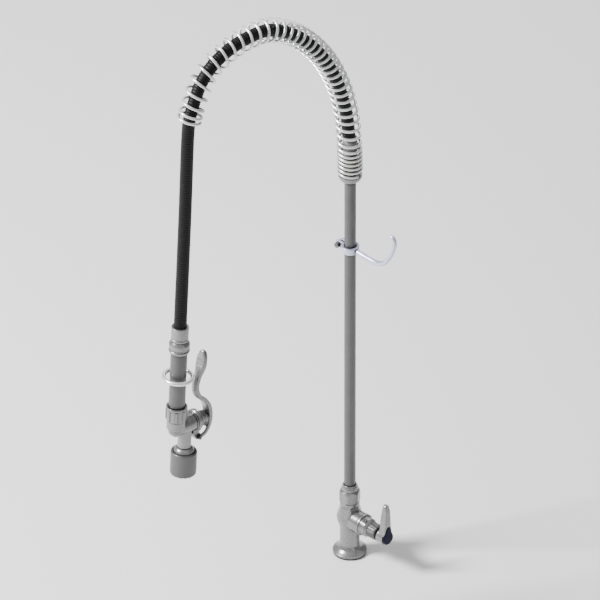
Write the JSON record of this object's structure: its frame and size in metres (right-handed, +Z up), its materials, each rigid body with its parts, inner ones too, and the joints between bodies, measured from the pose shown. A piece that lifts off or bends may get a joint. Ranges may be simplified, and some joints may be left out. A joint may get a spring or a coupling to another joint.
{
  "type": "pre-rinse faucet",
  "caption": "Deck-mounted pre-rinse faucet: flanged base with side lever valve, tall riser with finger hook, spring arch over a ribbed hose, and a hanging squeeze-lever spray valve.",
  "frame": {"origin": "centre of the flange underside, on the deck", "axes": "+Z up along the riser; the arch and spray reach towards -Y, where the user stands; the valve handle and the finger hook are on +X"},
  "size_m": [0.119, 0.3997, 1.0317],
  "materials": {
    "chrome": "polished plate",
    "satin_steel": "satin",
    "spring_steel": "bright",
    "hook_steel": "bright",
    "brass": "machined",
    "ceramic": "lapped ceramic",
    "rubber": "matt",
    "hose_black": "ribbed, matt",
    "index_blue": "moulded"
  },
  "bodies": {
    "base": {"base_body": "chrome", "deck_gasket": "rubber", "cartridge_seal": "rubber", "cartridge_sleeve": "brass", "fixed_disc": "ceramic", "bonnet": "chrome", "bonnet_set_screw": "satin_steel", "stem_o_ring": "rubber", "packing_nut": "satin_steel", "riser_gasket": "rubber", "riser_pipe": "satin_steel", "riser_nut": "chrome", "riser_collar": "chrome", "hose_swivel_nut": "brass", "hose_washer": "rubber", "hose_top_fitting": "chrome"},
    "base_handle": {"turning_disc": "ceramic", "valve_stem": "brass", "lever_handle": "chrome", "handle_screw": "satin_steel", "index_cap": "index_blue"},
    "hook": {"hook_clamp_band": "hook_steel", "finger_hook": "hook_steel", "clamp_bolt": "satin_steel", "clamp_nut": "satin_steel"},
    "spring_root": {"spring_ferrule": "chrome", "spring_foot": "spring_steel", "hose_riser_stretch": "hose_black"},
    "spring_arch": {"spring_arch_1": "spring_steel", "spring_arch_2": "spring_steel", "spring_arch_3": "spring_steel", "spring_arch_4": "spring_steel", "spring_arch_5": "spring_steel", "spring_arch_6": "spring_steel", "spring_arch_7": "spring_steel", "spring_arch_8": "spring_steel", "hose_arch_stretch": "hose_black"},
    "spray": {"hose_drop_stretch": "hose_black", "hose_ferrule": "chrome", "grip_collar_nut": "chrome", "inner_tube": "brass", "grip_sleeve": "satin_steel", "coupling_nut": "chrome", "coupling_washer": "rubber", "spray_body": "chrome", "body_plug": "chrome", "lever_bracket": "chrome", "lever_pivot_pin": "satin_steel", "spray_bonnet": "chrome", "plunger_spring": "spring_steel", "bell_dome": "chrome", "bell_gasket": "rubber", "spray_bell": "satin_steel", "spray_core": "brass", "spray_face": "satin_steel", "face_screw": "satin_steel"},
    "lever": {"squeeze_lever": "chrome"},
    "push_button": {"plunger": "satin_steel", "plunger_seal": "rubber"},
    "ring": {"hold_down_ring": "spring_steel"}
  },
  "joints": [
    {"name": "handle_turn", "type": "hinge", "parent": "base", "child": "base_handle", "pos_m": [0.06, 0, 0.062], "axis": [1, 0, 0], "range_deg": [0, 90]},
    {"name": "hook_swivel", "type": "hinge", "parent": "base", "child": "hook", "pos_m": [0, 0, 0.541], "axis": [0, 0, 1], "continuous": true},
    {"name": "arch_swivel", "type": "hinge", "parent": "base", "child": "spring_root", "pos_m": [0, 0, 0.661], "axis": [0, 0, 1], "range_deg": [-60, 60], "stiffness_Nm_per_rad": 3},
    {"name": "arch_bend", "type": "hinge", "parent": "spring_root", "child": "spring_arch", "pos_m": [0, -0.00654, 0.77343], "axis": [1, 0, 0], "range_deg": [-8, 12], "stiffness_Nm_per_rad": 25, "springref_deg": -11.46, "deforming": ["hose_riser_stretch", "hose_arch_stretch"]},
    {"name": "hose_swing", "type": "hinge", "parent": "spring_arch", "child": "spray", "pos_m": [0, -0.327, 0.926], "axis": [1, 0, 0], "range_deg": [-35, 20], "stiffness_Nm_per_rad": 3, "springref_deg": -4.58, "deforming": ["hose_drop_stretch"]},
    {"name": "lever_squeeze", "type": "hinge", "parent": "spray", "child": "lever", "pos_m": [0, -0.31491, 0.36664], "axis": [1, 0, 0], "range_deg": [0, 7.5], "stiffness_Nm_per_rad": 6, "springref_deg": -5.73},
    {"name": "plunger_push", "type": "slide", "parent": "spray", "child": "push_button", "axis": [0, -0.9985, 0.0553], "range_m": [0, 0.0052], "deforming": ["plunger_spring"]},
    {"name": "ring_slide", "type": "slide", "parent": "spray", "child": "ring", "axis": [0, 0.0553, 0.9985], "range_m": [0, 0.035]}
  ],
  "couplings": [
    {"joint": "plunger_push", "follows": "lever_squeeze", "m_per_rad": 0.0375}
  ]
}
